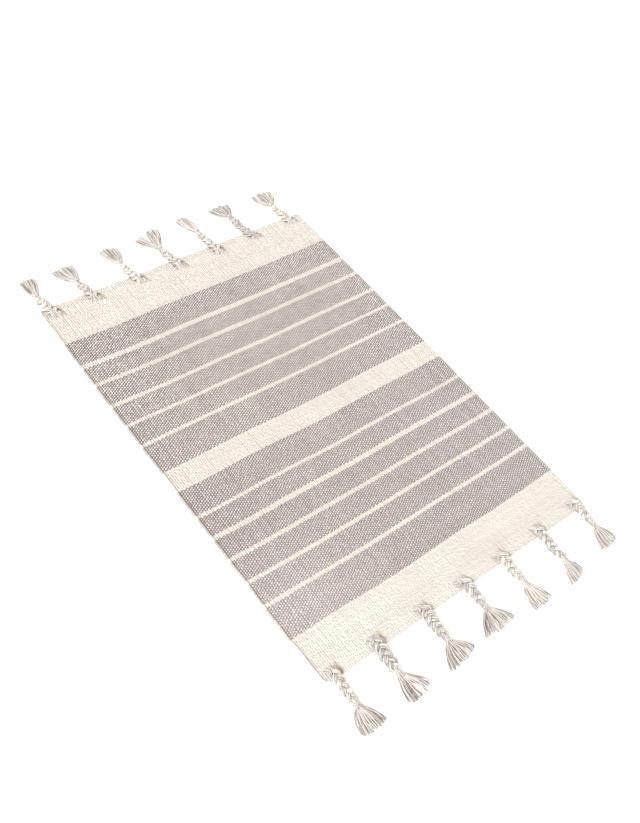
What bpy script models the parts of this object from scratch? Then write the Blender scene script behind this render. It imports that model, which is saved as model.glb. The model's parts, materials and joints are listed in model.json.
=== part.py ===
"""A flat-woven cotton bath mat with seven plaited tassels along each short end.

The mat lies flat on the floor, which is z = 0. X runs across it, Y along it, and the near end is at -Y.
The cloth is one woven sheet that folds over at its middle, so it is made as two half slabs that meet there.
Each tassel is three strands of yarn that come up through the cloth a little inside its end, are plaited
out over the edge, pass side by side through a tie, and end as a loose brush.
"""

import math
from collections import namedtuple

import bmesh
import bpy
from mathutils import Vector

# Cloth
MAT_WIDTH = 0.610
MAT_LENGTH = 0.864
CLOTH_THICKNESS = 0.0044
CORNER_RADIUS = 0.004
FOLD_GAP = 0.0003

# Strands, as half sizes of an oval section
CLEARANCE = 0.0003
STRAND_HALF_WIDTH = 0.0029
STRAND_HALF_HEIGHT = 0.0022
NECK_HALF_WIDTH = 0.00135
NECK_HALF_HEIGHT = 0.0028
BRUSH_HALF_HEIGHT = 0.0026
TIP_HALF_HEIGHT = 0.0018
SECTION_SIDES = 6
FLAT = math.cos(math.pi / SECTION_SIDES)
STEP = 0.0002
SHARP_FROM = math.radians(65)

# Plait
STRANDS = "abc"
ROOT_SPACING = 0.0094
PLAIT_START_SPACING = 0.0072
PLAIT_END_SPACING = 0.0060
NECK_SPACING = 0.0030
PLAIT_RISE = 0.0034
LEAD_IN = 0.009
LEAD_OUT = 0.007
CROSSING_PITCH = 0.0060
SIXTH_TURN = math.pi / 3
SWERVE_LEFT = 0.1
DROP_START = 0.003
DROP_LENGTH = 0.017

# Tie
TIE_LENGTH = 0.003
TIE_THICKNESS = 0.0011
TIE_CLEARANCE = 0.0005
TIE_SEGMENTS = 12

# Folds: the cloth folds up over its middle, and each tassel swings up at its root, round the middle of its plait
FOLD_HEIGHT = CLOTH_THICKNESS + 0.003
SWING_HEIGHT = CLOTH_THICKNESS + CLEARANCE + PLAIT_RISE + STRAND_HALF_HEIGHT * FLAT

# Root and neck are where a tassel leaves the cloth and where it is tied, tip is the end of its brush.
# inset is the root's distance inside the cloth's end; neck_out and tip_out are distances beyond it.
Tassel = namedtuple("Tassel", "name side root_x neck_x tip_x inset neck_out tip_out fan")

NEAR, FAR = -1, 1
TASSELS = (
    Tassel("near_tassel_1", NEAR, -0.285, -0.284, -0.282, 0.023, 0.048, 0.095, 0.046),
    Tassel("near_tassel_2", NEAR, -0.195, -0.197, -0.189, 0.025, 0.047, 0.096, 0.042),
    Tassel("near_tassel_3", NEAR, -0.098, -0.094, -0.093, 0.024, 0.050, 0.092, 0.062),
    Tassel("near_tassel_4", NEAR, -0.008, 0.000, -0.004, 0.023, 0.043, 0.087, 0.067),
    Tassel("near_tassel_5", NEAR, 0.084, 0.090, 0.092, 0.023, 0.048, 0.097, 0.043),
    Tassel("near_tassel_6", NEAR, 0.182, 0.184, 0.180, 0.024, 0.058, 0.097, 0.040),
    Tassel("near_tassel_7", NEAR, 0.281, 0.285, 0.283, 0.027, 0.037, 0.083, 0.044),
    Tassel("far_tassel_1", FAR, -0.279, -0.290, -0.286, 0.033, 0.032, 0.083, 0.029),
    Tassel("far_tassel_2", FAR, -0.195, -0.205, -0.215, 0.032, 0.033, 0.081, 0.045),
    Tassel("far_tassel_3", FAR, -0.096, -0.108, -0.111, 0.030, 0.037, 0.087, 0.038),
    Tassel("far_tassel_4", FAR, -0.007, -0.016, -0.021, 0.032, 0.037, 0.092, 0.045),
    Tassel("far_tassel_5", FAR, 0.085, 0.078, 0.069, 0.033, 0.046, 0.097, 0.028),
    Tassel("far_tassel_6", FAR, 0.180, 0.165, 0.158, 0.031, 0.052, 0.092, 0.048),
    Tassel("far_tassel_7", FAR, 0.276, 0.267, 0.266, 0.028, 0.041, 0.088, 0.049),
)


def clear_scene():
    for obj in list(bpy.data.objects):
        bpy.data.objects.remove(obj)


def material(name, colour, roughness):
    made = bpy.data.materials.new(name)
    made.use_nodes = True
    shader = made.node_tree.nodes["Principled BSDF"]
    shader.inputs["Base Color"].default_value = (*colour, 1.0)
    shader.inputs["Roughness"].default_value = roughness
    shader.inputs["Metallic"].default_value = 0.0
    return made


def place(name, mesh_builder, look, parent=None):
    """A bmesh turned into a named object, with its normals facing out."""
    bmesh.ops.recalc_face_normals(mesh_builder, faces=mesh_builder.faces)
    mesh = bpy.data.meshes.new(name)
    mesh_builder.to_mesh(mesh)
    mesh_builder.free()
    mesh.shade_smooth()
    mesh.set_sharp_from_angle(angle=SHARP_FROM)
    mesh.materials.append(look)
    obj = bpy.data.objects.new(name, mesh)
    bpy.context.scene.collection.objects.link(obj)
    hang(obj, parent)
    return obj


def hang(obj, parent):
    """Parents an object to an empty without moving it; the empties are only ever shifted, not turned."""
    if parent is not None:
        bpy.context.view_layer.update()
        obj.parent = parent
        obj.location -= parent.matrix_world.translation


def pivot(name, location, parent=None):
    """An empty on a joint's axis, which the pieces that turn there hang from."""
    empty = bpy.data.objects.new(name, None)
    empty.location = location
    bpy.context.scene.collection.objects.link(empty)
    hang(empty, parent)
    return empty


def smooth(share):
    share = min(max(share, 0.0), 1.0)
    return share * share * (3 - 2 * share)


def eased(at, stations):
    """A value that eases from one (place, value) station to the next."""
    for (start, low), (end, high) in zip(stations, stations[1:]):
        if at <= end:
            return low + (high - low) * smooth((at - start) / (end - start))
    return stations[-1][1]


# Cloth


def cloth_half(name, side, look, parent=None):
    """Half of the cloth: a flat slab from the fold to one end, with its two end corners rounded."""
    start = FOLD_GAP / 2
    end = MAT_LENGTH / 2
    half = MAT_WIDTH / 2
    arc = [math.radians(angle) for angle in range(0, 91, 30)]
    outline = [(half, start)]
    outline += [
        (half - CORNER_RADIUS * (1 - math.cos(a)), end - CORNER_RADIUS * (1 - math.sin(a)))
        for a in arc
    ]
    outline += [(-x, y) for x, y in reversed(outline)]
    builder = bmesh.new()
    corners = [builder.verts.new((x, side * y, 0.0)) for x, y in outline]
    bottom = builder.faces.new(corners)
    made = bmesh.ops.extrude_face_region(builder, geom=[bottom])
    top = [item for item in made["geom"] if isinstance(item, bmesh.types.BMVert)]
    bmesh.ops.translate(builder, verts=top, vec=(0, 0, CLOTH_THICKNESS))
    return place(name, builder, look, parent)


# Tassels. A strand is followed by how far along the tassel it is, from its root.


def plait_length(tassel):
    return tassel.inset + tassel.neck_out


def tassel_length(tassel):
    return tassel.inset + tassel.tip_out


def crossings(tassel):
    """How many times the strands cross between the root and the tie."""
    return round((plait_length(tassel) - LEAD_IN - LEAD_OUT) / CROSSING_PITCH)


def turn(tassel, strand, along):
    """The strand's place in the plait's cycle: it swings from side to side once per turn."""
    plaited = plait_length(tassel) - LEAD_IN - LEAD_OUT
    share = min(max((along - LEAD_IN) / plaited, 0.0), 1.0)
    return 2 * math.pi * strand / len(STRANDS) + share * crossings(tassel) * SIXTH_TURN


def spacing(tassel, along):
    """The distance between neighbouring strands where they lie side by side."""
    neck = plait_length(tassel)
    return eased(
        along,
        (
            (0.0, ROOT_SPACING),
            (LEAD_IN, PLAIT_START_SPACING),
            (neck - LEAD_OUT - CROSSING_PITCH, PLAIT_END_SPACING),
            (neck, NECK_SPACING),
            (neck + TIE_LENGTH, NECK_SPACING),
            (tassel_length(tassel), tassel.fan / len(STRANDS)),
        ),
    )


def half_width(tassel, along):
    neck = plait_length(tassel)
    if along > neck:
        return NECK_HALF_WIDTH + (spacing(tassel, along) - NECK_SPACING) / 2
    return eased(
        along,
        (
            (0.0, STRAND_HALF_WIDTH),
            (neck - LEAD_OUT - CROSSING_PITCH, STRAND_HALF_WIDTH),
            (neck, NECK_HALF_WIDTH),
        ),
    )


def half_height(tassel, along):
    neck = plait_length(tassel)
    end = tassel_length(tassel)
    return eased(
        along,
        (
            (0.0, STRAND_HALF_HEIGHT),
            (neck - LEAD_OUT, STRAND_HALF_HEIGHT),
            (neck, NECK_HALF_HEIGHT),
            (neck + (end - neck) / 2, BRUSH_HALF_HEIGHT),
            (end, TIP_HALF_HEIGHT),
        ),
    )


def rise(tassel, along):
    """How far a strand climbs over and dips under its neighbours."""
    neck = plait_length(tassel)
    return eased(
        along,
        (
            (0.0, 0.0),
            (LEAD_IN, PLAIT_RISE),
            (neck - LEAD_OUT, PLAIT_RISE),
            (neck, 0.0),
        ),
    )


def ground(tassel, along):
    """The height that the tassel lies on: the cloth, then the floor, and a tie's thickness over it at the neck."""
    edge = tassel.inset + DROP_START
    neck = plait_length(tassel)
    tie = NECK_HALF_HEIGHT * (1 - FLAT) + TIE_CLEARANCE + TIE_THICKNESS
    return eased(
        along,
        (
            (0.0, CLOTH_THICKNESS + CLEARANCE),
            (edge, CLOTH_THICKNESS + CLEARANCE),
            (min(edge + DROP_LENGTH, neck - LEAD_OUT), 0.0),
            (neck - LEAD_OUT, 0.0),
            (neck, tie),
            (neck + TIE_LENGTH, tie),
            (neck + TIE_LENGTH + LEAD_OUT, 0.0),
        ),
    )


def middle_x(tassel, along):
    """The tassel's own centreline: it swerves over the cloth's end, and then leans a little."""
    over_end = tassel.neck_x + SWERVE_LEFT * (tassel.root_x - tassel.neck_x)
    return eased(
        along,
        (
            (0.0, tassel.root_x),
            (tassel.inset, over_end),
            (plait_length(tassel), tassel.neck_x),
            (tassel_length(tassel), tassel.tip_x),
        ),
    )


def wave(angle):
    """Over and under twice per turn of the plait, with crests flat enough to clear the strand crossed."""
    return (9 * math.sin(2 * angle) + math.sin(6 * angle)) / 8


def strand_centre(tassel, strand, along):
    angle = turn(tassel, strand, along)
    x = middle_x(tassel, along) + spacing(tassel, along) * math.sin(angle) / math.sin(SIXTH_TURN)
    y = tassel.side * (MAT_LENGTH / 2 - tassel.inset + along)
    climb = rise(tassel, along) * (1 + wave(angle))
    return Vector((x, y, ground(tassel, along) + climb + half_height(tassel, along) * FLAT))


def strand_stations(tassel):
    """Places along a strand: its root, every twelfth of a turn of the plait, the neck and the brush."""
    neck = plait_length(tassel)
    end = tassel_length(tassel)
    steps = 2 * crossings(tassel)
    plaited = neck - LEAD_IN - LEAD_OUT
    places = [0.0, LEAD_IN / 2]
    places += [LEAD_IN + plaited * step / steps for step in range(steps + 1)]
    places += [neck - LEAD_OUT / 2, neck, neck + TIE_LENGTH, neck + (end - neck) / 2, end]
    return places


def sideways(tassel, strand, along):
    """The level direction square to the strand; it is straight across at the root, the tie and the tip."""
    neck = plait_length(tassel)
    if along <= 0 or along >= neck:
        return Vector((1, 0, 0))
    ahead = strand_centre(tassel, strand, along + STEP) - strand_centre(tassel, strand, along - STEP)
    return Vector((ahead.y, -ahead.x, 0)).normalized() * tassel.side


def strand_ring(builder, tassel, strand, along):
    centre = strand_centre(tassel, strand, along)
    across = sideways(tassel, strand, along) * half_width(tassel, along)
    up = Vector((0, 0, half_height(tassel, along)))
    ring = []
    for side in range(SECTION_SIDES):
        angle = 2 * math.pi * (side + 0.5) / SECTION_SIDES
        ring.append(builder.verts.new(centre + across * math.sin(angle) - up * math.cos(angle)))
    return ring


def strand_object(tassel, strand, look, parent):
    """One strand from its root to the tip of its third of the brush."""
    builder = bmesh.new()
    rings = [
        strand_ring(builder, tassel, strand, along) for along in strand_stations(tassel)
    ]
    for first, second in zip(rings, rings[1:]):
        for side in range(SECTION_SIDES):
            after = (side + 1) % SECTION_SIDES
            builder.faces.new((first[side], first[after], second[after], second[side]))
    builder.faces.new(rings[0])
    builder.faces.new(rings[-1])
    return place(f"{tassel.name}_strand_{STRANDS[strand]}", builder, look, parent)


def tie_object(tassel, look, parent):
    """The thread wound round the neck: a short band with round ends that the three strands pass through."""
    start = plait_length(tassel)
    x = middle_x(tassel, start)
    z = ground(tassel, start) + NECK_HALF_HEIGHT * FLAT
    builder = bmesh.new()
    loops = []
    for segment in range(TIE_SEGMENTS):
        angle = 2 * math.pi * (segment + 0.5) / TIE_SEGMENTS
        across, up = math.sin(angle), -math.cos(angle)
        outer_strand = x + math.copysign(NECK_SPACING, across)
        corners = []
        for thick, along in ((0, 0), (1, 0), (1, 1), (0, 1)):
            wide = NECK_HALF_WIDTH + TIE_CLEARANCE + thick * TIE_THICKNESS
            high = NECK_HALF_HEIGHT + TIE_CLEARANCE + thick * TIE_THICKNESS
            y = tassel.side * (MAT_LENGTH / 2 - tassel.inset + start + along * TIE_LENGTH)
            corners.append(builder.verts.new((outer_strand + wide * across, y, z + high * up)))
        loops.append(corners)
    for segment in range(TIE_SEGMENTS):
        first = loops[segment]
        second = loops[(segment + 1) % TIE_SEGMENTS]
        for corner in range(4):
            after = (corner + 1) % 4
            builder.faces.new((first[corner], first[after], second[after], second[corner]))
    return place(f"{tassel.name}_tie", builder, look, parent)


def tassel_objects(tassel, strand_look, tie_look, parent=None):
    """The strands and tie of a tassel, hung from an empty at its root, where it swings."""
    root_y = tassel.side * (MAT_LENGTH / 2 - tassel.inset)
    root = pivot(f"{tassel.name}_swing", (tassel.root_x, root_y, SWING_HEIGHT), parent)
    for strand in range(len(STRANDS)):
        strand_object(tassel, strand, strand_look, root)
    tie_object(tassel, tie_look, root)


def main():
    clear_scene()
    cloth = material("striped_cotton_cloth", (0.66, 0.61, 0.57), 0.95)
    yarn = material("cotton_yarn", (0.72, 0.67, 0.63), 0.95)
    thread = material("tie_thread", (0.60, 0.55, 0.53), 0.9)
    fold = pivot("cloth_fold", (0.0, 0.0, FOLD_HEIGHT))
    cloth_half("cloth_near_half", NEAR, cloth, fold)
    cloth_half("cloth_far_half", FAR, cloth)
    for tassel in TASSELS:
        tassel_objects(tassel, yarn, thread, fold if tassel.side == NEAR else None)


main()
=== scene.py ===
"""The looks of a flat-woven cotton bath mat with plaited tassels, on a white studio floor.

The cloth is one plain-woven sheet with real relief at every crossing. Each strand of a tassel is a bundle
of seven two-ply yarns that comes up through the cloth, runs through the plait and the tie, and ends in the
brush, with seven loose plies under it.
X runs across the mat, Y along it, and the near end is at -Y.
"""

import json
import math

import bpy
import numpy as np
from mathutils import Matrix, Vector


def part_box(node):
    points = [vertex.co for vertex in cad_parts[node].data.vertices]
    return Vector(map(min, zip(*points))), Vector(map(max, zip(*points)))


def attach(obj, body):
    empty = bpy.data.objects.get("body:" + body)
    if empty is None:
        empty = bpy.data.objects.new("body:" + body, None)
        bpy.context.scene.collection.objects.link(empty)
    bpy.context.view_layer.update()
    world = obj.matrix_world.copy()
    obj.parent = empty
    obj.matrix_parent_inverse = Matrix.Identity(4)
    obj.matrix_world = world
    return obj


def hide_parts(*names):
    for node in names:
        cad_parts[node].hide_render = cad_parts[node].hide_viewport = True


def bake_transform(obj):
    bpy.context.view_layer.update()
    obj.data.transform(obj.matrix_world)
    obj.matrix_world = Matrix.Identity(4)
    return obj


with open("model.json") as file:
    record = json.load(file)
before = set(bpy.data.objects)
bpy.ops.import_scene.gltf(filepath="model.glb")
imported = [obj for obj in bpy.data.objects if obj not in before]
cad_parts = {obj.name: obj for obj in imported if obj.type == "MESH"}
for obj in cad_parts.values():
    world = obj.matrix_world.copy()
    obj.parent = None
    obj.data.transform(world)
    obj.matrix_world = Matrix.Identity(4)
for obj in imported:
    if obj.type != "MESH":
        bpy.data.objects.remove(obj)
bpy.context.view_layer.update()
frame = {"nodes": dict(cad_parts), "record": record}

NEAR, FAR = -1, 1

# Camera
LENS = 43.21
CAMERA_AT = (-0.8827, -0.7283, 1.3928)
CAMERA_LOOKS = (0.49723, 0.39438, -0.77280)
CAMERA_UP = (0.39843, 0.68744, 0.60718)

# Weave. A crossing is one warp yarn by one pick of weft.
WARP_PITCH = 0.0040
PICK_PITCH = 0.0023
EDGE_DEPTH = 0.0005
CORNER_DEPTH = 0.0011
STREAK_DEPTH = 0.0006
GROOVE_DEPTH = 0.0012
RIM_HEIGHT = 0.0007  # how thick the cloth is at its very edge
SIDE_ROUNDING = 0.0034
END_ROUNDING = 0.0030
BOW = 0.0025
WARP_OVAL = (0.36, 0.60)  # half the width and length of a warp crossing, in yarns
WEFT_OVAL = (0.60, 0.46)
LEAN = 0.45  # how far an oval crossing leans, the way the yarn is twisted

# Stripes: the distance from the cloth's middle to each stripe's middle, along the mat, and the stripe's width
MIDDLE_BAND = (-0.0054, 0.0442)
FAR_BAND_FROM = 0.3392
NEAR_BAND_FROM = -0.3437
LINE_WIDTH = 0.0078
LINES = (
    0.2783, 0.2320, 0.1776, 0.1275, 0.0790,
    -0.0859, -0.1334, -0.1825, -0.2312, -0.2790,
)

# Tassels, as in the CAD
STRANDS = "abc"
YARNS = 7
LOWER_YARNS = 4  # of the seven: the rest lie on top of them
YARN_SIDES = 8
THREAD_SIDES = 6
YARN_RADIUS = 0.00098
NECK_YARN_RADIUS = 0.00088
TIP_YARN_RADIUS = YARN_RADIUS * 0.92
NECK_WIDENS = 0.016  # how far past the neck the yarns have their full width again
ROOT_SPACING = 0.0094
ROOT_HALF_WIDTH = 0.0135
PLAIT_START_SPACING = 0.0068
PLAIT_END_SPACING = 0.0056
NECK_SPACING = 0.0032
PLAIT_RISE = 0.0029
STRAND_HEIGHT = 0.0019
NECK_HEIGHT = 0.0028
NECK_MIDDLE = NECK_HEIGHT * 0.87
TIP_HEIGHT = 0.0016
NECK_LIFT = 0.0019
ROOT_CLEARANCE = 0.0003
LEAD_IN = 0.013
CAD_LEAD_IN = 0.009
LEAD_OUT = 0.007
SWERVE_LEFT = 0.1
CROSSING_PITCH = 0.0060
SIXTH_TURN = math.pi / 3
TIE_LENGTH = 0.003
TIE_THREAD = 0.00055
TIE_CLEARANCE = 0.0004
TIE_TURNS = 4.2
TIE_POINTS = 88
TIE_SQUARENESS = 0.8
TIE_SPREAD = 0.0034
TIE_PLY_PITCH = 0.002
FOLD_REACH = 0.009
DROP_START = 0.003
DROP_LENGTH = 0.017
PLY_PITCH = 0.0044

# Brushes whose ends part, as the place across the fan from -0.5 to 0.5 and half the gap's width. Plaits that
# are pulled tighter or left looser than the rest, as a share of the usual width. Brushes whose yarns end on a
# slant, as the share of their length by which one side of the fan is longer than the other.
PARTINGS = {"near_tassel_2": (0.12, 0.0028), "far_tassel_4": (-0.08, 0.0050)}
PLAIT_WIDTHS = {
    "near_tassel_1": 0.86, "near_tassel_2": 1.12, "near_tassel_3": 1.14, "near_tassel_4": 1.04,
    "near_tassel_6": 0.96, "far_tassel_2": 0.92, "far_tassel_3": 0.86, "far_tassel_4": 0.92,
    "far_tassel_5": 0.88, "far_tassel_6": 0.94, "far_tassel_7": 0.94,
}
SLANTS = {
    "near_tassel_2": -0.20, "near_tassel_3": -0.22, "near_tassel_5": -0.05, "near_tassel_6": -0.24,
    "near_tassel_7": -0.13, "far_tassel_3": -0.12, "far_tassel_4": 0.36, "far_tassel_6": 0.05,
}

# How grey a yarn is, from 0 to 1: each yarn and loose ply draws one of these, and all are greyer in the
# brush;
# at the root some are painted greyer as painted shade. A yarn in the brush draws how much painted shade it
# lies in.
YARN_DYES = [0.0, 0.0, 0.2, 0.9]
LOOSE_PLY_DYES = [0.1, 0.6, 1.0]
ROOT_PAINTED_SHADE = {NEAR: 0.58, FAR: 0.16}
ROOT_PAINTED_SHADE_REACH = 0.022
BRUSH_DYE = 0.20
BRUSH_DYE_REACH = 0.012
BRUSH_SHADES = [0.0, 0.10, 0.38]

# Linear colours
CREAM = (0.83, 0.785, 0.71)
BRIGHT_CREAM = (0.86, 0.825, 0.755)
GREY = (0.312, 0.276, 0.292)
# The grey weft is painted darker towards the far end, and lighter towards the near -X corner.
DEEP_GREY = (0.268, 0.235, 0.251)
PAINTED_LIGHT_GREY = (0.435, 0.392, 0.416)
YARN_CREAM = (0.87, 0.825, 0.745)
YARN_GREY = (0.56, 0.51, 0.49)
TIE_GREY = (0.78, 0.735, 0.69)
# Painted shade: one tint for gaps and the yarns' lower sides, one for grooves and the shadows beside roots.
PAINTED_SHADE_TINT = (0.80, 0.62, 0.50)
PAINTED_SHADOW_TAN = (0.62, 0.46, 0.33)
FLOOR_WHITE = (0.90, 0.90, 0.90)
WORLD_COLOUR = (1.0, 0.962, 0.910)
WORLD_STRENGTH = 0.84
KEY_DIRECTION = (0.72, 0.03, -0.68)
KEY_COLOUR = (0.965, 1.02, 1.10)
KEY_STRENGTH = 2.9
KEY_SPREAD = 24  # degrees
FLOOR_SIZE = 6.0
FLOOR_HEIGHT = -0.0001


def smooth(share):
    share = np.clip(share, 0.0, 1.0)
    return share * share * (3 - 2 * share)


def eased(at, stations):
    """Values that ease from one (place, value) station to the next, for an array of places."""
    at = np.asarray(at, float)
    found = np.full(at.shape, float(stations[-1][1]))
    for (start, low), (end, high) in reversed(list(zip(stations, stations[1:]))):
        here = low + (high - low) * smooth((at - start) / (end - start))
        found = np.where(at <= end, here, found)
    return found


def mesh_object(name, points, faces, material):
    """A smooth mesh object from arrays: points, and one array of faces for each number of corners."""
    mesh = bpy.data.meshes.new(name)
    loops = np.concatenate([part.ravel() for part in faces]).astype(np.int32)
    corners = np.concatenate([np.full(len(part), part.shape[1]) for part in faces])
    starts = np.concatenate([[0], np.cumsum(corners)[:-1]]).astype(np.int32)
    mesh.vertices.add(len(points))
    mesh.vertices.foreach_set("co", np.asarray(points, np.float32).ravel())
    mesh.loops.add(len(loops))
    mesh.loops.foreach_set("vertex_index", loops)
    mesh.polygons.add(len(corners))
    mesh.polygons.foreach_set("loop_start", starts)
    mesh.update(calc_edges=True)
    mesh.shade_smooth()
    mesh.materials.append(material)
    made = bpy.data.objects.new(name, mesh)
    bpy.context.scene.collection.objects.link(made)
    return made


def add_values(made, name, values):
    """A number or a vector for each point of a mesh, which its material reads by name."""
    values = np.asarray(values, np.float32)
    kind = "FLOAT" if values.ndim == 1 else "FLOAT_VECTOR"
    attribute = made.data.attributes.new(name, kind, "POINT")
    attribute.data.foreach_set("value" if values.ndim == 1 else "vector", values.ravel())


# Materials


class Graph:
    """A material's nodes, made by short calls that each return a socket."""

    def __init__(self, name, roughness):
        self.material = bpy.data.materials.new(name)
        self.material.use_nodes = True
        self.tree = self.material.node_tree
        self.shader = self.tree.nodes["Principled BSDF"]
        self.shader.inputs["Roughness"].default_value = roughness
        self.shader.inputs["Specular IOR Level"].default_value = 0.25

    def put(self, socket, value):
        if isinstance(value, bpy.types.NodeSocket):
            self.tree.links.new(value, socket)
        else:
            socket.default_value = value

    def math(self, operation, *values, clamp=False):
        node = self.tree.nodes.new("ShaderNodeMath")
        node.operation = operation
        node.use_clamp = clamp
        for socket, value in zip(node.inputs, values):
            self.put(socket, value)
        return node.outputs[0]

    def add(self, first, second):
        return self.math("ADD", first, second)

    def less(self, first, second):
        return self.math("SUBTRACT", first, second)

    def times(self, first, second):
        return self.math("MULTIPLY", first, second)

    def ramp(self, value, low, high, to_low=0.0, to_high=1.0):
        """Smoothly from to_low at low to to_high at high."""
        node = self.tree.nodes.new("ShaderNodeMapRange")
        node.interpolation_type = "SMOOTHSTEP"
        for socket, number in zip(node.inputs, (value, low, high, to_low, to_high)):
            self.put(socket, number)
        return node.outputs[0]

    def mix(self, share, first, second, blend="MIX"):
        node = self.tree.nodes.new("ShaderNodeMix")
        node.data_type = "RGBA"
        node.blend_type = blend
        self.put(node.inputs[0], share)
        for socket, value in ((node.inputs[6], first), (node.inputs[7], second)):
            self.put(socket, (*value, 1.0) if isinstance(value, tuple) else value)
        return node.outputs[2]

    def value(self, name):
        node = self.tree.nodes.new("ShaderNodeAttribute")
        node.attribute_name = name
        return node.outputs["Fac"]

    def vector(self, name):
        node = self.tree.nodes.new("ShaderNodeAttribute")
        node.attribute_name = name
        return node.outputs["Vector"]

    def split(self, vector):
        node = self.tree.nodes.new("ShaderNodeSeparateXYZ")
        self.put(node.inputs[0], vector)
        return node.outputs[:3]

    def join(self, x, y, z=0.0):
        node = self.tree.nodes.new("ShaderNodeCombineXYZ")
        for socket, value in zip(node.inputs, (x, y, z)):
            self.put(socket, value)
        return node.outputs[0]

    def random(self, vector):
        node = self.tree.nodes.new("ShaderNodeTexWhiteNoise")
        node.noise_dimensions = "2D"
        self.put(node.inputs["Vector"], vector)
        return node.outputs["Value"]

    def noise(self, vector, scale, detail=2.0):
        node = self.tree.nodes.new("ShaderNodeTexNoise")
        self.put(node.inputs["Vector"], vector)
        node.inputs["Scale"].default_value = scale
        node.inputs["Detail"].default_value = detail
        return node.outputs["Fac"]

    def object_point(self):
        return self.tree.nodes.new("ShaderNodeTexCoord").outputs["Object"]

    def bump(self, height, distance, strength=1.0):
        node = self.tree.nodes.new("ShaderNodeBump")
        node.inputs["Distance"].default_value = distance
        node.inputs["Strength"].default_value = strength
        self.put(node.inputs["Height"], height)
        self.put(self.shader.inputs["Normal"], node.outputs[0])

    def finish(self, colour):
        self.put(self.shader.inputs["Base Color"], colour)
        return self.material


def scaled(graph, colour, factor):
    """A colour times a number."""
    return graph.mix(1.0, colour, graph.join(factor, factor, factor), "MULTIPLY")


def tinted(graph, share, colour, tint):
    """A colour that takes on a tint by a share of it."""
    return graph.mix(share, colour, graph.mix(1.0, colour, tint, "MULTIPLY"))


def oval(graph, across, along, wide, long):
    """How far a place is from the middle of an oval that leans as the yarn is twisted: 1 on its border."""
    across, along = graph.math("DIVIDE", across, wide), graph.math("DIVIDE", along, long)
    square = graph.add(graph.times(across, across), graph.times(along, along))
    return graph.less(square, graph.times(graph.times(across, along), LEAN))


def nearest_oval(graph, here, across, along, wide, long):
    """The same, for ovals in every other cell: in this cell where here is 1, or else in those beside it."""
    next_across = graph.less(across, graph.math("SIGN", across))
    next_along = graph.less(along, graph.math("SIGN", along))
    beside = graph.math(
        "MINIMUM",
        oval(graph, next_across, along, wide, long),
        oval(graph, across, next_along, wide, long),
    )
    own = oval(graph, across, along, wide, long)
    return graph.add(graph.times(here, own), graph.times(graph.less(1.0, here), beside))


def uneven_tone(graph, warp, pick, dyed, far):
    """Yarns differ a little from one another, and so does each yarn from crossing to crossing."""
    each_pick = graph.ramp(graph.random(graph.join(pick, 3.0)), 0, 1, -0.035, 0.035)
    patches = graph.ramp(graph.noise(graph.object_point(), 11.0), 0.38, 0.62)
    each_warp = graph.ramp(graph.random(graph.join(warp, 7.0)), 0, 1, -0.07, 0.07)
    each_warp = graph.times(each_warp, graph.ramp(dyed, 0, 1, 0.5, 1.0))
    broad = graph.ramp(graph.noise(graph.object_point(), 7.0), 0.3, 0.7, -0.02, 0.02)
    clumps = graph.random(graph.join(warp, graph.math("FLOOR", graph.math("DIVIDE", pick, 2.0)), 5.0))
    clumped = graph.times(graph.ramp(clumps, 0, 1, -0.10, 0.10), far)
    each_crossing = graph.ramp(graph.random(graph.join(warp, pick)), 0, 1, -0.09, 0.08)
    each_crossing = graph.times(each_crossing, graph.ramp(far, 0, 1, 1.0, 0.4))
    each_crossing = graph.add(each_crossing, 0.985)
    broad = graph.add(broad, clumped)
    # The cream weft is a little darker towards +X and the near end.
    to_right, to_near = graph.ramp(warp, 40.0, 150.0, 0.0, -0.055), graph.ramp(pick, 120.0, 30.0, 0.3, 1.0)
    duller = graph.times(graph.times(to_right, to_near), graph.less(1.0, dyed))
    broad = graph.add(broad, duller)
    tone = graph.add(graph.times(each_warp, patches), each_crossing)
    return graph.add(graph.add(tone, each_pick), broad)


def weave_ovals(graph, across, along, warp, pick, under):
    """How far a place is from the nearest warp and weft crossings, and from the middle of its own warp."""
    weft_up = graph.math("FLOORED_MODULO", graph.add(graph.add(warp, pick), under), 2.0)
    warp_up = graph.less(1.0, weft_up)
    in_warp = graph.less(graph.less(across, warp), 0.5)
    in_pick = graph.less(graph.less(along, pick), 0.5)
    to_warp = nearest_oval(graph, warp_up, in_warp, in_pick, *WARP_OVAL)
    to_weft = nearest_oval(graph, weft_up, in_warp, in_pick, *WEFT_OVAL)
    return to_warp, to_weft, in_warp


def painted_gap_shade(graph, across, along, in_warp, nearest, cord, dyed):
    """How much painted shade a place gets as a gap between yarns: more in the reed's marks, less in the cords
    and cream.
    """
    gap = graph.ramp(nearest, 0.50, 1.15)
    loose = graph.random(graph.join(graph.math("ROUND", across), graph.math("ROUND", along)))
    gap = graph.times(gap, graph.ramp(loose, 0.0, 0.9, 0.15, 1.0))
    from_warp = graph.math("ABSOLUTE", in_warp)
    streak = graph.times(graph.value("streak"), graph.ramp(from_warp, 0.26, 0.5, 0.0, 0.95))
    gap = graph.times(gap, graph.less(1.0, cord))
    calmer = graph.times(graph.ramp(along, 190.0, 20.0), graph.less(1.0, dyed))
    gap = graph.times(gap, graph.ramp(calmer, 0, 1, 1.0, 0.68))
    return graph.math("MAXIMUM", gap, streak)


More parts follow.
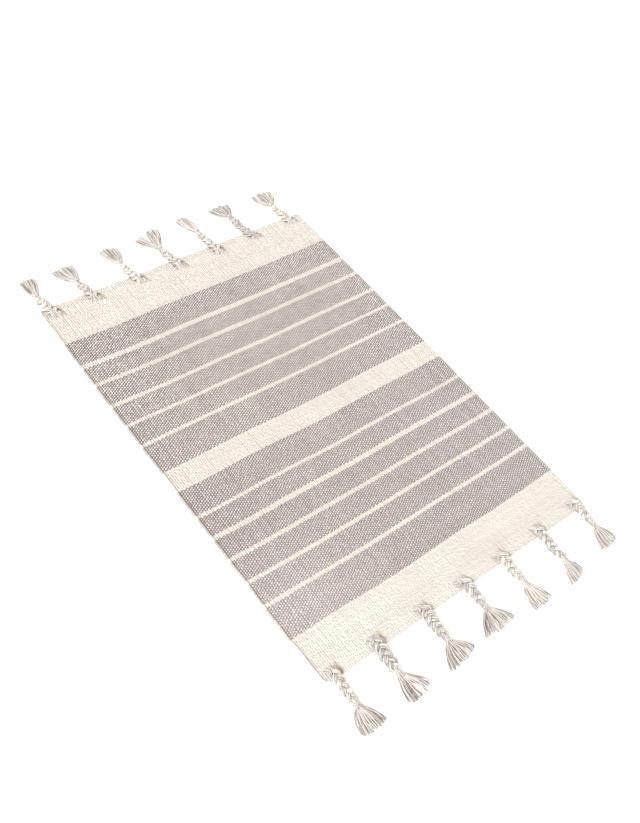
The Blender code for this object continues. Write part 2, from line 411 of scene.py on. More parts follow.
def cloth_material():
    """Plain weave: cream warp over cream or grey weft, whose crossings alternate like a chessboard."""
    graph = Graph("woven_cotton", 0.95)
    across, along, under = graph.split(graph.vector("weave"))
    warp, pick = graph.math("FLOOR", across), graph.math("FLOOR", along)
    to_warp, to_weft, in_warp = weave_ovals(graph, across, along, warp, pick, under)
    warp_shows = graph.ramp(graph.less(to_weft, to_warp), -0.2, 0.2)
    # The cords; the grooves, painted tan, with the painted shadows beside the roots; and the painted light
    # near -X.
    cord, groove, painted_light_near_corner = graph.split(graph.vector("cord_groove_and_painted_light"))
    level = graph.times(graph.less(0.45, warp_shows), graph.ramp(cord, 0.3, 0.9, 0.0, 0.85))
    warp_shows = graph.add(warp_shows, level)
    dyed = graph.math("GREATER_THAN", graph.value("dye"), 0.5)
    dyed = graph.times(dyed, graph.ramp(cord, 0.35, 0.9, 1.0, 0.85))
    # Painted shade and light: the grey darkens towards the far end and pales towards the near -X corner.
    grey = graph.mix(graph.ramp(along, 40.0, 340.0), GREY, DEEP_GREY)
    weft = graph.mix(dyed, BRIGHT_CREAM, graph.mix(painted_light_near_corner, grey, PAINTED_LIGHT_GREY))
    far = graph.times(graph.ramp(pick, 150.0, 330.0), graph.ramp(dyed, 0, 1, 0.35, 1.0))
    tone = uneven_tone(graph, warp, pick, dyed, far)
    bolder = graph.times(graph.times(far, dyed), graph.ramp(warp_shows, 0, 1, -0.27, 0.13))
    tone = graph.times(graph.add(tone, bolder), graph.ramp(cord, 0.30, 0.95, 1.0, 0.84))
    nearest = graph.math("MINIMUM", to_warp, to_weft)
    gap = painted_gap_shade(graph, across, along, in_warp, nearest, cord, dyed)
    greyed = graph.times(dyed, graph.less(1.0, painted_light_near_corner))
    greyed = graph.times(greyed, graph.ramp(along, 60.0, 260.0, 0.16, 0.0))
    colour = graph.mix(warp_shows, weft, graph.mix(greyed, CREAM, GREY))
    # Painted shade: tan in the grooves beside the cords, and as a painted shadow beside each root.
    colour = tinted(graph, groove, colour, PAINTED_SHADOW_TAN)
    # Painted shade between the yarns, warmer and darker.
    colour = tinted(graph, graph.times(gap, 0.8), colour, PAINTED_SHADE_TINT)
    tone = graph.times(tone, graph.ramp(gap, 0, 1, 1.0, 0.60))
    dome = graph.ramp(nearest, 1.2, 0.0)
    fibres = graph.noise(graph.object_point(), 2600.0)
    graph.bump(graph.add(dome, graph.times(fibres, 0.25)), 0.0007)
    return graph.finish(scaled(graph, colour, tone))


def yarn_material(name, pale, dark):
    """Two-ply yarn: the plies wind round each other, with painted shade in the groove between them, and fine
    fibres.
    """
    graph = Graph(name, 0.95)
    side, top, along = graph.split(graph.vector("ply"))
    turn = graph.times(along, 2 * math.pi)
    over, through = graph.times(side, graph.math("COSINE", turn)), graph.times(top, graph.math("SINE", turn))
    lobe = graph.math("ABSOLUTE", graph.less(over, through))
    fibres = graph.noise(graph.object_point(), 2400.0)
    patches = graph.noise(graph.object_point(), 160.0)
    # Painted shade in the groove between the two plies.
    tone = graph.times(graph.ramp(lobe, 0.0, 0.5, 0.86, 1.0), graph.ramp(patches, 0.3, 0.7, 0.95, 1.03))
    tone = graph.times(tone, graph.ramp(fibres, 0.3, 0.7, 0.96, 1.03))
    # Painted shade on each yarn's lower sides, between it and its neighbours, less on its very bottom.
    between = graph.times(graph.ramp(top, 0.55, -0.35, 0.0, 0.7), graph.ramp(top, -0.85, -0.40, 0.0, 1.0))
    # Painted shade where a yarn lies under others, less of it on the yarn's underside.
    hidden = graph.times(graph.value("painted_shade"), graph.ramp(top, -0.7, 0.2, 0.15, 1.0))
    below = graph.math("MAXIMUM", between, hidden)
    colour = graph.mix(graph.value("dye"), pale, dark)
    colour = tinted(graph, below, colour, PAINTED_SHADE_TINT)
    tone = graph.times(tone, graph.ramp(below, 0, 1, 1.0, 0.38))
    height = graph.add(graph.ramp(lobe, 0.0, 0.8), graph.times(fibres, 0.3))
    graph.bump(height, 0.0004)
    return graph.finish(scaled(graph, colour, tone))


def floor_material():
    graph = Graph("white_floor", 0.9)
    graph.shader.inputs["Emission Color"].default_value = (1.0, 1.0, 1.0, 1.0)
    graph.shader.inputs["Emission Strength"].default_value = 0.25
    return graph.finish((*FLOOR_WHITE, 1.0))


# Cloth


def lattice(count, near_edge):
    """Places along one side, in yarns: each yarn's middle and border, and more places near both edges."""
    middle = [step / 2 for step in range(1, 2 * count)]
    return np.array(sorted({*middle, *near_edge, *(count - place for place in near_edge)}))


def stripe_dye(places):
    """1 where the weft is grey and 0 where it is cream, for distances along the mat."""
    grey = (places < FAR_BAND_FROM) & (places > NEAR_BAND_FROM)
    grey &= np.abs(places - MIDDLE_BAND[0]) > MIDDLE_BAND[1] / 2
    for line in LINES:
        grey &= np.abs(places - line) > LINE_WIDTH / 2
    return grey.astype(float)


def waves(x, y, *, seed, longest):
    """A smooth random field between about -1 and 1, as a sum of a few long waves."""
    random = np.random.default_rng(seed)
    total = np.zeros(np.broadcast(x, y).shape)
    for _ in range(6):
        angle = random.uniform(0, 2 * math.pi)
        length = longest * random.uniform(0.35, 1.0)
        phase = random.uniform(0, 2 * math.pi)
        total = total + np.sin(2 * math.pi * (x * math.cos(angle) + y * math.sin(angle)) / length + phase)
    return total / 3.5


def uneven(count, spread, seed):
    """Where the borders between yarns lie, as shares of the side: the yarns differ a little in width."""
    widths = 1 + spread * np.random.default_rng(seed).standard_normal(count).clip(-2, 2)
    return np.concatenate([[0], np.cumsum(widths)]) / widths.sum()


def relief(across, along, strength):
    """How far the surface lies under the crests: a little between two crossings, and most between four."""
    between_warps = 1 - np.abs(np.sin(math.pi * across))
    between_picks = 1 - np.abs(np.sin(math.pi * along))
    both = between_warps * between_picks
    one = np.maximum(between_warps, between_picks)
    return (EDGE_DEPTH * (one - both) + CORNER_DEPTH * both) * strength


def rounded_edge(distance, reach):
    """0 at the cloth's edge and 1 from reach inwards, as a quarter circle."""
    inside = np.clip(distance / reach, 0, 1)
    return np.sqrt(np.clip(1 - (1 - inside) ** 2, 0, 1))


def outline(x, y, low, high):
    """The cloth's own outline: long edges that bow a little, and worn corners."""
    half_width, half_length = (high.x - low.x) / 2, (high.y - low.y) / 2
    left = eased(y, ((-0.43, 0.0), (-0.30, 0.0026), (-0.21, 0.0010), (0.20, 0.0010), (0.35, -0.0006)))
    right = eased(y, ((-0.43, 0.0), (-0.30, 0.0012), (0.02, 0.0024), (0.20, 0.0018), (0.33, 0.0004)))
    side = np.clip(np.abs(x) / half_width, 0, 1) ** 6
    moved = x + side * np.where(x < 0, -left, right)
    ripple = side * 0.0007 * waves(x, y, seed=21, longest=0.09)
    moved = moved + ripple * smooth((half_length - np.abs(y)) / 0.02)
    corner_x = smooth(1 - (half_width - np.abs(x)) / 0.012)
    corner_y = smooth(1 - (half_length - np.abs(y)) / 0.012)
    worn = np.where((x < 0) & (y < 0), 0.0036, 0.0022) * corner_x * corner_y
    return moved - np.sign(x) * worn, y - np.sign(y) * worn


def away_from_ends(y, half_length):
    """How much the weft bows and waves: all of it in the middle of the cloth, and none at its ends."""
    return smooth((half_length - np.abs(y)) / 0.06)


def selvedge_profile(across, warps, y):
    """The cords along both long edges: how much a place is cord, and how much sunk groove with painted shade
    lies beside it.
    """
    left, right = across * WARP_PITCH, (warps - across) * WARP_PITCH
    cord = smooth((0.0050 - left) / 0.003) + smooth((0.0080 - right) / 0.004) * 0.6
    wander = 0.0003 * waves(np.zeros_like(y), y, seed=23, longest=0.15)
    beside_left = np.exp(-(((left - 0.0046 + wander) / 0.0013) ** 2))
    beside_right = np.exp(-(((right - 0.0088 + wander) / 0.0009) ** 2))
    patchy = 0.75 + 0.25 * waves(np.zeros_like(y), y, seed=25, longest=0.08)
    return np.clip(cord, 0, 1), np.clip(patchy * (0.75 * beside_left + 0.25 * beside_right), 0, 1)


def reed_marks(across, warps, x, y):
    """Wider gaps between every second pair of warps, which come and go along the cloth."""
    random = np.random.default_rng(11)
    gap = random.random(warps + 1) ** 1.1 * np.where(np.arange(warps + 1) % 2, 0.35, 1.15)
    border = np.round(across).astype(int)
    near = np.abs(across - border) < 0.3
    by_place = eased(y, ((-0.36, 0.15), (-0.02, 0.9), (0.30, 1.0)))
    by_place = by_place + 1.3 * smooth(1 - np.abs(x - 0.13) / 0.10) * smooth((-0.30 - y) / 0.03)
    by_place = by_place + 0.60 * smooth(1 - np.hypot((x + 0.17) / 0.10, (y - 0.06) / 0.09))
    comes_and_goes = 0.75 + 0.45 * waves(x, y, seed=7, longest=0.20)
    return np.clip(gap[border] * by_place * comes_and_goes, 0, 1) * near


def root_shade(x, y):
    """Where a shadow is painted on the cloth beside a tassel's root, in tan: a band along its +X side, out to
    the cloth's end.
    """
    total = np.zeros(x.shape)
    for tassel in TASSELS:
        along = tassel.side * (y - tassel.root.y)
        width = eased(along, ((-0.004, 0.006), (0.001, 0.0125), (0.010, 0.0130), (0.025, 0.0110)))
        edge = tassel.middle(np.clip(along, 0, None)) + width
        band = smooth(1 - np.abs(x - edge - 0.0018) / 0.0052) * (0.50 + 0.45 * smooth(along / 0.014))
        total = np.maximum(total, band * smooth((along + 0.0030) / 0.006))
    return total


def cloth_surface(box, across, along, top):
    """Points, weave places, dye, streaks, cords, and painted shade and light of the cloth's top or underside,
    on a grid of yarns.
    """
    (low, high), warps, picks = box, round(across[-1]), round(along[-1])
    width, length = high.x - low.x, high.y - low.y
    u, v = np.meshgrid(across, along)
    x = low.x + width * np.interp(u, np.arange(warps + 1), uneven(warps, spread=0.10, seed=31))
    y = low.y + length * np.interp(v, np.arange(picks + 1), uneven(picks, spread=0.12, seed=33))
    inner = away_from_ends(y, length / 2)
    streak = reed_marks(u, warps, x, y)
    cord, groove = selvedge_profile(u, warps, y)
    random = np.random.default_rng(41 if top else 43)
    inside = (np.minimum(u, warps - u) > 0.9) & (np.minimum(v, picks - v) > 0.9)
    shift_x, shift_y = 0.00030 * random.standard_normal((2, *u.shape)).clip(-2, 2) * inside
    rough = 1 + 0.22 * random.standard_normal(u.shape).clip(-2, 2) * inside
    y = y - BOW * (1 - (2 * x / width) ** 2) * inner + shift_y
    long_waves, short_waves = waves(x, y, seed=3, longest=0.5), waves(x, y, seed=9, longest=0.05)
    y = y + (0.0011 * long_waves + 0.0004 * short_waves) * inner
    x = x + 0.0008 * waves(x, y, seed=5, longest=0.6) * smooth((width / 2 - np.abs(x)) / 0.05) + shift_x
    x, y = outline(x, y, low, high)
    depth = relief(u, v, rough * (1 - 0.5 * cord)) + STREAK_DEPTH * streak + GROOVE_DEPTH * groove
    edge = rounded_edge(np.minimum(u, warps - u) * WARP_PITCH, SIDE_ROUNDING)
    edge *= rounded_edge(np.minimum(v, picks - v) * PICK_PITCH, END_ROUNDING)
    if top:
        z = low.z + RIM_HEIGHT + (high.z - low.z - RIM_HEIGHT - depth) * edge
    else:
        z = low.z + np.clip(relief(u, v, rough) * 0.8 * edge, 0, None)
    dye = stripe_dye(low.y + (np.floor(np.clip(v, 0, picks - 1e-6)) + 0.5) * length / picks)
    weave = np.stack([u, v, np.full(u.shape, 0.0 if top else 1.0)], -1)
    # Painted light: the grey weft is paler towards the near -X corner.
    painted_light_near_corner = smooth(1 - np.hypot((x - low.x) / 0.30, (y - low.y - 0.09) / 0.20))
    # On the top, the painted shadow beside each root goes in with the grooves' painted shade.
    groove = np.maximum(groove, root_shade(x, y)) if top else groove
    cord_groove_and_painted_light = np.stack([cord, groove, painted_light_near_corner], -1)
    return np.stack([x, y, z], -1), weave, dye, streak, cord_groove_and_painted_light


def grid_faces(rows, columns, first, flip):
    corner = first + np.arange(rows - 1)[:, None] * columns + np.arange(columns - 1)[None, :]
    quads = np.stack([corner, corner + 1, corner + columns + 1, corner + columns], -1).reshape(-1, 4)
    return quads[:, ::-1] if flip else quads


def border(rows, columns, first):
    """The points round a grid, in order."""
    grid = first + np.arange(rows * columns).reshape(rows, columns)
    return np.concatenate([grid[0, :-1], grid[:-1, -1], grid[-1, :0:-1], grid[:0:-1, 0]])


def make_cloth(material):
    """One closed sheet over both halves of the CAD's cloth, with woven relief on its top and underside."""
    near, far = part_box("cloth_near_half"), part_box("cloth_far_half")
    box = (near[0], far[1])
    warps = round((box[1].x - box[0].x) / WARP_PITCH)
    picks = round((box[1].y - box[0].y) / PICK_PITCH)
    across = lattice(warps, (0.0, 0.1, 0.25, 0.75, 0.88, 1.12, 1.25, 1.75, 2.12, 2.25, 2.38))
    along = lattice(picks, (0.0, 0.12, 0.30, 0.75))
    rows, columns = len(along), len(across)
    top = cloth_surface(box, across, along, True)
    under = cloth_surface(box, across, along, False)
    points, weave, dye, streak, cord_groove_and_painted_light = (
        np.concatenate([a.reshape(rows * columns, -1), b.reshape(rows * columns, -1)])
        for a, b in zip(top, under)
    )
    upper, lower = border(rows, columns, 0), border(rows, columns, rows * columns)
    rim = np.stack([lower, np.roll(lower, -1), np.roll(upper, -1), upper], -1)
    faces = [
        grid_faces(rows, columns, 0, False),
        grid_faces(rows, columns, rows * columns, True),
        rim,
    ]
    made = mesh_object("cloth", points, [np.concatenate(faces)], material)
    for name, values in (
        ("weave", weave), ("dye", dye.ravel()), ("streak", streak.ravel()), ("cord_groove_and_painted_light", cord_groove_and_painted_light),
    ):
        add_values(made, name, values)
    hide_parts("cloth_near_half", "cloth_far_half")
    return made


# Tassels


class Tassel:
    """A tassel's places, read from its CAD pieces: distances along it are counted from its root."""

    def __init__(self, name, joint):
        self.name = name
        self.side = NEAR if name.startswith("near") else FAR
        root = Vector(joint["pos_m"])
        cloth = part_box(f"cloth_{'near' if self.side == NEAR else 'far'}_half")
        end = cloth[0].y if self.side == NEAR else cloth[1].y
        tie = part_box(f"{name}_tie")
        self.root = root
        self.cloth_top = cloth[1].z
        self.inset = abs(end - root.y)
        starts = (abs(tie[0].y - root.y), abs(tie[1].y - root.y))
        self.neck = min(starts)
        self.neck_x = (tie[0].x + tie[1].x) / 2
        tips = self.tip_points()
        self.length = abs(tips[0][1] - root.y)
        self.tip_x = (min(p[0] for p in tips) + max(p[0] for p in tips)) / 2
        self.fan = max(p[0] for p in tips) - min(p[0] for p in tips)
        self.crossings = round((self.neck - CAD_LEAD_IN - LEAD_OUT) / CROSSING_PITCH)
        self.parting, self.part_width = PARTINGS.get(name, (0.0, 0.0))
        self.slant = SLANTS.get(name, 0.0)
        self.loose = PLAIT_WIDTHS.get(name, 1.0)

    def tip_points(self):
        """The corners of the CAD strands at the end of the brush."""
        corners = [
            tuple(v.co)
            for strand in STRANDS
            for v in frame["nodes"][f"{self.name}_strand_{strand}"].data.vertices
        ]
        furthest = max(self.side * p[1] for p in corners)
        return [p for p in corners if self.side * p[1] > furthest - 0.0002]

    def turn(self, strand, along):
        """How far round the plait's figure of eight a strand is: a sixth of a turn for each crossing."""
        plaited = self.neck - LEAD_IN - LEAD_OUT
        share = np.clip((along - LEAD_IN) / plaited, 0, 1)
        return 2 * math.pi * strand / len(STRANDS) + share * self.crossings * SIXTH_TURN

    def spacing(self, along):
        """How far apart the strands' middles are."""
        return eased(along, (
            (0.0, ROOT_SPACING),
            (LEAD_IN, PLAIT_START_SPACING * self.loose),
            (self.neck - LEAD_OUT - CROSSING_PITCH, PLAIT_END_SPACING * self.loose),
            (self.neck, NECK_SPACING),
            (self.neck + TIE_LENGTH, NECK_SPACING),
            (self.length, self.fan / 3),
        ))

    def ground(self, along):
        """The height of what the tassel lies on: the cloth, then the floor, and the tie's thread."""
        edge = self.inset + DROP_START
        on_cloth = self.cloth_top + ROOT_CLEARANCE
        return eased(along, (
            (0.0, on_cloth),
            (edge, on_cloth),
            (min(edge + DROP_LENGTH, self.neck - LEAD_OUT), 0.0),
            (self.neck - LEAD_OUT, 0.0),
            (self.neck, NECK_LIFT),
            (self.neck + TIE_LENGTH, NECK_LIFT),
            (self.neck + TIE_LENGTH + LEAD_OUT, 0.0),
        ))

    def middle(self, along):
        """Where the tassel's own middle is, across the mat."""
        over_end = self.neck_x + SWERVE_LEFT * (self.root.x - self.neck_x)
        return eased(along, (
            (0.0, self.root.x), (self.inset, over_end), (self.neck, self.neck_x), (self.length, self.tip_x),
        ))

    def strand_path(self, strand, along):
        """The points along a strand's middle."""
        angle = self.turn(strand, along)
        swing = self.spacing(along) * np.sin(angle) / math.sin(SIXTH_TURN)
        rise = eased(along, (
            (0, 0), (LEAD_IN, PLAIT_RISE), (self.neck - LEAD_OUT, PLAIT_RISE), (self.neck, 0),
        ))
        wave = (9 * np.sin(2 * angle) + np.sin(6 * angle)) / 8
        tall = eased(along, (
            (0, STRAND_HEIGHT), (self.neck - LEAD_OUT, STRAND_HEIGHT),
            (self.neck, NECK_MIDDLE), (self.neck + TIE_LENGTH, NECK_MIDDLE), (self.length, TIP_HEIGHT),
        ))
        z = self.ground(along) + rise * (1 + wave) + tall
        return np.stack([self.middle(along) + swing, self.root.y + self.side * along, z], -1)


TASSELS = [
    Tassel(joint["child"], joint)
    for joint in frame["record"]["behaviour"]["joints"]
    if "tassel" in joint["name"]
]


def yarn_places(tassel):
    """Places along a yarn, from the underside of the cloth to its tip, closer together in the brush."""
    hidden = np.linspace(-0.014, 0.0, 9)[:-1]
    plait = np.arange(0.0, tassel.neck, 0.0019)
    brush = np.linspace(tassel.neck, tassel.length, 34)
    return np.concatenate([hidden, plait, brush])


def bundle_offsets(yarn, along, tassel, strand):
    """A yarn's place in its strand's section, in yarn widths: four yarns below and three above them."""
    lower = yarn < LOWER_YARNS
    across, up = (yarn - 1.5, -0.5) if lower else (yarn - 5.0, 0.5)
    phase = yarn * 2.4 + strand * 4.1 + tassel.root.x * 90
    across = across + 0.22 * np.sin(along * 210 + phase)
    up = up + 0.16 * np.sin(along * 260 + phase * 1.7)
    roll = 0.22 * np.sin(along * 150 + strand * 2.1 + tassel.root.x * 40)
    return across * np.cos(roll) - up * np.sin(roll), up * np.cos(roll) + across * 0.5 * np.sin(roll)


def yarn_line(tassel, strand, yarn, along, random):
    """The points that one yarn follows."""
    out = np.clip(along, 0, None)
    centre = tassel.strand_path(strand, out)
    step = 0.0002
    heading = tassel.strand_path(strand, out + step) - tassel.strand_path(strand, out - step)
    side = np.stack([heading[:, 1], -heading[:, 0]], -1)
    side /= np.linalg.norm(side, axis=1)[:, None]
    side *= np.sign(side[:, :1])
    across, up = bundle_offsets(yarn, along, tassel, strand)
    neck = tassel.neck
    plaited = 0.0020 * tassel.loose
    wide = eased(out, ((0, 0.0025), (LEAD_IN, plaited), (neck - LEAD_OUT, plaited * 0.9), (neck, 0.0009)))
    tall = eased(out, ((0, 0.0014), (LEAD_IN, 0.0016), (neck - LEAD_OUT, 0.0016), (neck, 0.0028)))
    line = centre.copy()
    line[:, 0] += side[:, 0] * across * wide
    line[:, 1] += side[:, 1] * across * wide
    line[:, 2] += up * tall
    line, shade = with_brush(line, tassel, strand, yarn, along, random)
    # Painted shade on two of the yarns just past the root, where they come up through the cloth.
    shade = np.maximum(shade, (0.22 if yarn in (1, 4) else 0.0) * smooth(1 - (along - 0.004) / 0.012))
    return with_root(line, tassel, yarn, along), shade


def brush_place(tassel, strand, yarn):
    """The yarn's place across the brush, counted from one side: each strand spreads over its own third."""
    order = np.argsort(np.argsort([math.sin(float(tassel.turn(s, tassel.neck))) for s in range(3)]))
    return order[strand] * YARNS + (yarn * 3) % YARNS


def fan_line(tassel, place, along, layer, random):
    """Where a yarn lies in the brush: it leaves the tie, spreads with the others and ends near the tip."""
    start = tassel.neck + TIE_LENGTH
    share = (along - start) / (tassel.length - start)
    slot = (place + 0.5) / (3 * YARNS) - 0.5 + random.normal(0, 0.010)
    s = np.clip(share, 0, 1)
    short = random.uniform(-0.10, 0.03) if layer else random.uniform(-0.16, 0.03)
    reach = (tassel.length - start) * (1.03 - 0.40 * slot ** 2 + tassel.slant * slot + short)
    opening = 1 - (1 - s) ** 1.6
    x = tassel.neck_x + (tassel.tip_x - tassel.neck_x) * s
    x += slot * (0.009 + (tassel.fan * 1.04 - 0.009) * opening) + random.normal(0, 0.0006) * s
    if tassel.part_width:
        x += math.copysign(tassel.part_width, slot - tassel.parting) * smooth((s - 0.25) / 0.6)
    x += random.normal(0, 0.0012) * np.sin(math.pi * s) + 0.0004 * np.sin(s * 11 + place * 6)
    x += 0.0007 * np.sin(place * 1.9 + tassel.root.x * 30) * s
    y = tassel.root.y + tassel.side * (start + reach * s)
    low, high = (0.0024, 0.0018) if layer else (0.0009, 0.0008)
    lift = low + (high - low) * s + random.uniform(0, 0.0012) * s * layer
    return np.stack([x, y, lift], -1), share


def with_brush(line, tassel, strand, yarn, along, random):
    """Past the tie, the yarn leaves for its own place in the fan."""
    fan, share = fan_line(tassel, brush_place(tassel, strand, yarn), along, 1, random)
    beside, down = smooth(share / 0.10)[:, None], smooth(share / 0.26)
    line[:, :2] = line[:, :2] * (1 - beside) + fan[:, :2] * beside
    line[:, 2] = line[:, 2] * (1 - down) + fan[:, 2] * down
    # Each yarn draws a painted shade, which grows over the first part of the brush.
    return line, random.choice(BRUSH_SHADES) * smooth(share / 0.25)


def loose_ply(tassel, strand, yarn, random):
    """A ply that has come out of its yarn below the tie, and lies on the floor under the others."""
    start = tassel.neck + TIE_LENGTH / 2
    along = np.linspace(start, tassel.length, 24)
    place = brush_place(tassel, strand, yarn) + 0.5
    fan, share = fan_line(tassel, place, along, 0, random)
    height = tassel.ground(along) + NECK_MIDDLE
    down = smooth(share / 0.30)
    fan[:, 2] = height * (1 - down) + fan[:, 2] * down
    # The loose plies are painted in shade, as they lie under the other yarns; less of it towards their tips.
    shade = random.uniform(0.45, 0.95) * smooth(share / 0.2) * (1 - 0.5 * smooth((share - 0.65) / 0.35))
    radius = eased(along, ((start, 0.00055), (start + 0.006, 0.00085), (tassel.length, 0.00080)))
    return tube(fan, radius, THREAD_SIDES, PLY_PITCH), shade


def with_root(line, tassel, yarn, along):
    """At the root, the yarn comes up through the cloth at a slant; before it, it runs along the underside."""
    from_middle = (line[:, 0] - tassel.root.x) / ROOT_HALF_WIDTH
    later = 0.0045 * np.clip(from_middle, -1, 1) ** 2 + (0.0 if yarn < LOWER_YARNS else 0.0012)
    above = smooth((along + 0.0030 - later) / 0.0110)
    line[:, 2] = 0.0009 * (1 - above) + line[:, 2] * above
    under = smooth((-along - 0.004) / 0.010)
    toward = tassel.root.x + 0.8 * (line[:, 0] - tassel.root.x)
    line[:, 0] = line[:, 0] * (1 - under) + toward * under
    return line


def tube(line, radius, sides, twist_pitch):
    """Points, faces and ply coordinates of a closed tube round a line, with two lobes that wind along it."""
    heading = np.gradient(line, axis=0)
    heading /= np.linalg.norm(heading, axis=1)[:, None]
    side = np.cross(heading, (0.0, 0.0, 1.0))
    weak = np.linalg.norm(side, axis=1) < 0.2
    side[weak] = np.cross(heading[weak], (0.0, 1.0, 0.0))
    side /= np.linalg.norm(side, axis=1)[:, None]
    up = np.cross(side, heading)
    travelled = np.concatenate([[0], np.cumsum(np.linalg.norm(np.diff(line, axis=0), axis=1))])
    turns = travelled / twist_pitch
    angle = np.arange(sides) * 2 * math.pi / sides
    lobes = np.abs(np.cos(angle[None, :] + turns[:, None] * 2 * math.pi))
    size = np.broadcast_to(radius, turns.shape)[:, None] * (0.86 + 0.2 * lobes)
    points = (
        line[:, None, :]
        + side[:, None, :] * (size * np.cos(angle))[:, :, None]
        + up[:, None, :] * (size * np.sin(angle))[:, :, None]
    )
    rings = len(line)
    first = np.arange(rings - 1)[:, None] * sides + np.arange(sides)[None, :]
    after = np.arange(rings - 1)[:, None] * sides + (np.arange(sides)[None, :] + 1) % sides
    quads = np.stack([first, after, after + sides, first + sides], -1).reshape(-1, 4)
    ends = np.array([line[0] - heading[0] * 0.0004, line[-1] + heading[-1] * 0.0006])
    points = np.concatenate([points.reshape(-1, 3), ends])
    around = np.arange(sides)
    beyond = (around + 1) % sides
    last = (rings - 1) * sides
    caps = np.concatenate([
        np.stack([beyond, around, np.full(sides, rings * sides)], -1),
        np.stack([last + around, last + beyond, np.full(sides, rings * sides + 1)], -1),
    ])
    ply = np.stack(np.broadcast_arrays(np.cos(angle)[None, :], np.sin(angle)[None, :], turns[:, None]), -1)
    ply = np.concatenate([ply.reshape(-1, 3), [[1, 0, 0], [1, 0, turns[-1]]]])
    return points, quads, caps, ply


def joined_tubes(name, tubes, dyes, shades, material):
    """One object from several tubes, each with its own dye and painted shade, in all or for each ring of
    points.
    """
    points, quads, caps, ply, dye, painted_shade, count = [], [], [], [], [], [], 0
    for (own_points, own_quads, own_caps, own_ply), own_dye, shade in zip(tubes, dyes, shades):
        points.append(own_points)
        quads.append(own_quads + count)
        caps.append(own_caps + count)
        ply.append(own_ply)
        sides = (len(own_points) - 2) // len(shade)
        for values, rings in ((dye, np.broadcast_to(own_dye, shade.shape)), (painted_shade, shade)):
            values.append(np.concatenate([np.repeat(rings, sides), rings[[0, -1]]]))
        count += len(own_points)
    made = mesh_object(name, np.concatenate(points), [np.concatenate(quads), np.concatenate(caps)], material)
    add_values(made, "ply", np.concatenate(ply))
    add_values(made, "dye", np.concatenate(dye))
    add_values(made, "painted_shade", np.concatenate(painted_shade))
    return made


def make_strand(tassel, strand, material, random):
    """A strand's yarns and loose plies in one piece."""
    along = yarn_places(tassel)
    neck = tassel.neck
    radius = eased(along, (
        (0.0, YARN_RADIUS), (neck - LEAD_OUT, YARN_RADIUS),
        (neck, NECK_YARN_RADIUS), (neck + TIE_LENGTH, NECK_YARN_RADIUS),
        (neck + NECK_WIDENS, YARN_RADIUS), (tassel.length, TIP_YARN_RADIUS),
    ))
    tubes, dyes, shades = [], [], []
    for yarn in range(YARNS):
        line, shade = yarn_line(tassel, strand, yarn, along, random)
        tubes.append(tube(line, radius * random.uniform(0.92, 1.08), YARN_SIDES, PLY_PITCH))
        own = np.clip(random.choice(YARN_DYES) + random.normal(0, 0.06), 0, 1)
        # Painted shade: some yarns are greyer where they come up through the cloth, more at the near end.
        root_painted_shade = ROOT_PAINTED_SHADE[tassel.side] * (1.0 if yarn % 3 == 0 else 0.25)
        root_painted_shade = root_painted_shade * smooth(1 - along / ROOT_PAINTED_SHADE_REACH)
        brush_dye = BRUSH_DYE * smooth((along - neck) / BRUSH_DYE_REACH)
        dyes.append(np.clip(own + root_painted_shade + brush_dye, 0, 1))
        shades.append(shade)
    for yarn in range(YARNS):
        ply, shade = loose_ply(tassel, strand, yarn, random)
        tubes.append(ply)
        dyes.append(float(random.choice(LOOSE_PLY_DYES)))
        shades.append(shade)
    made = joined_tubes(f"{tassel.name}_yarns_{STRANDS[strand]}", tubes, dyes, shades, material)
    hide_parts(f"{tassel.name}_strand_{STRANDS[strand]}")
    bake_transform(made)
    return made


def make_tie(tassel, material):
    """A thread wound four times round the neck, outside the yarns."""
    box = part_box(f"{tassel.name}_tie")
    centre = (box[0] + box[1]) / 2
    wide = (box[1].x - box[0].x) / 2 - TIE_THREAD - TIE_CLEARANCE
    tall = (box[1].z - box[0].z) / 2 - TIE_THREAD - TIE_CLEARANCE
    turn = np.linspace(0, TIE_TURNS * 2 * math.pi, TIE_POINTS)
    across = np.sign(np.sin(turn)) * np.abs(np.sin(turn)) ** TIE_SQUARENESS
    up = np.sign(np.cos(turn)) * np.abs(np.cos(turn)) ** TIE_SQUARENESS
    share = np.linspace(-0.5, 0.5, len(turn))
    line = np.stack([centre.x + wide * across, centre.y + share * TIE_SPREAD, centre.z + tall * up], -1)
    wound = [tube(line, TIE_THREAD, THREAD_SIDES, TIE_PLY_PITCH)]
    made = joined_tubes(f"{tassel.name}_tie_thread", wound, [0.5], [np.zeros(len(line))], material)
    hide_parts(f"{tassel.name}_tie")
    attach(made, tassel.name)
    return made


def make_tassels(yarn, thread):
    random = np.random.default_rng(20)
    made = []
    for tassel in TASSELS:
        made += [make_strand(tassel, strand, yarn, random) for strand in range(len(STRANDS))]
        made.append(make_tie(tassel, thread))
    return made


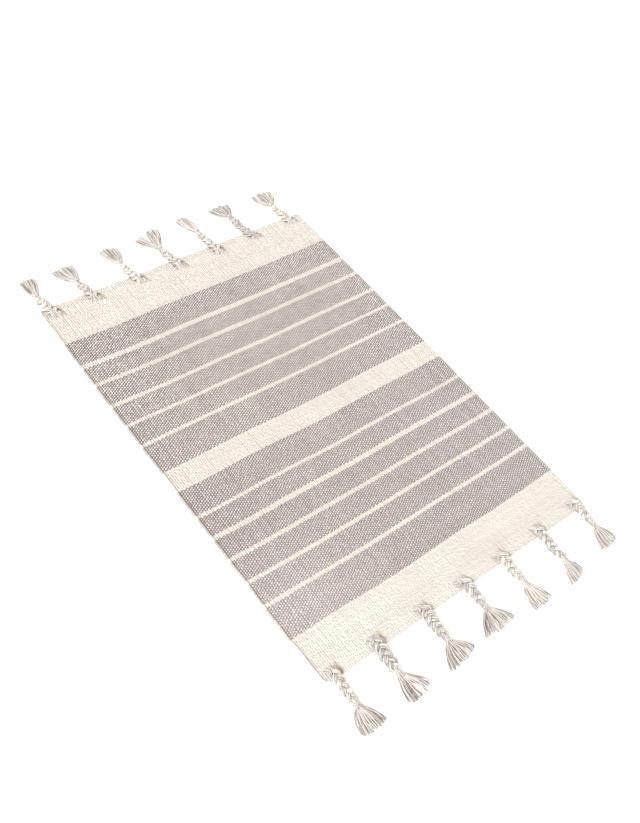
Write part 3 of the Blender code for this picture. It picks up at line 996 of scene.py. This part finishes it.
# Studio


def make_camera():
    data = bpy.data.cameras.new("camera")
    data.lens = LENS
    data.clip_start, data.clip_end = 0.05, 50
    camera = bpy.data.objects.new("camera", data)
    bpy.context.scene.collection.objects.link(camera)
    look, up = Vector(CAMERA_LOOKS).normalized(), Vector(CAMERA_UP).normalized()
    right = look.cross(up)
    camera.matrix_world = Matrix.Translation(CAMERA_AT) @ Matrix((right, up, -look)).transposed().to_4x4()
    bpy.context.scene.camera = camera


def make_floor():
    signs = ((-1, -1), (1, -1), (1, 1), (-1, 1))
    corners = [(x * FLOOR_SIZE, y * FLOOR_SIZE, FLOOR_HEIGHT) for x, y in signs]
    floor = mesh_object("floor", np.array(corners), [np.array([[0, 1, 2, 3]])], floor_material())


def add_sun(name, direction, strength, spread, colour):
    """Even, soft light that comes from one direction."""
    data = bpy.data.lights.new(name, "SUN")
    data.energy = strength
    data.color = colour
    data.angle = math.radians(spread)
    light = bpy.data.objects.new(name, data)
    bpy.context.scene.collection.objects.link(light)
    light.rotation_euler = Vector(direction).to_track_quat("-Z", "Y").to_euler()


def make_light():
    world = bpy.data.worlds.new("studio")
    bpy.context.scene.world = world
    world.use_nodes = True
    background = world.node_tree.nodes["Background"]
    background.inputs["Color"].default_value = (*WORLD_COLOUR, 1.0)
    background.inputs["Strength"].default_value = WORLD_STRENGTH
    add_sun("key", KEY_DIRECTION, KEY_STRENGTH, KEY_SPREAD, KEY_COLOUR)
    bpy.context.scene.view_settings.view_transform = "Standard"


def main():
    make_camera()
    make_floor()
    make_light()
    cloth = make_cloth(cloth_material())
    yarn = yarn_material("cotton_yarn", YARN_CREAM, YARN_GREY)
    thread = yarn_material("tie_thread", TIE_GREY, TIE_GREY)
    tassel_pieces = make_tassels(yarn, thread)
    fold = next(j for j in frame["record"]["behaviour"]["joints"] if j["name"] == "cloth_fold")
    start, end = Vector(fold["pos_m"]), Vector(fold["pos_m"])
    start.y, end.y = FOLD_REACH, -FOLD_REACH
    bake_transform(cloth)


main()
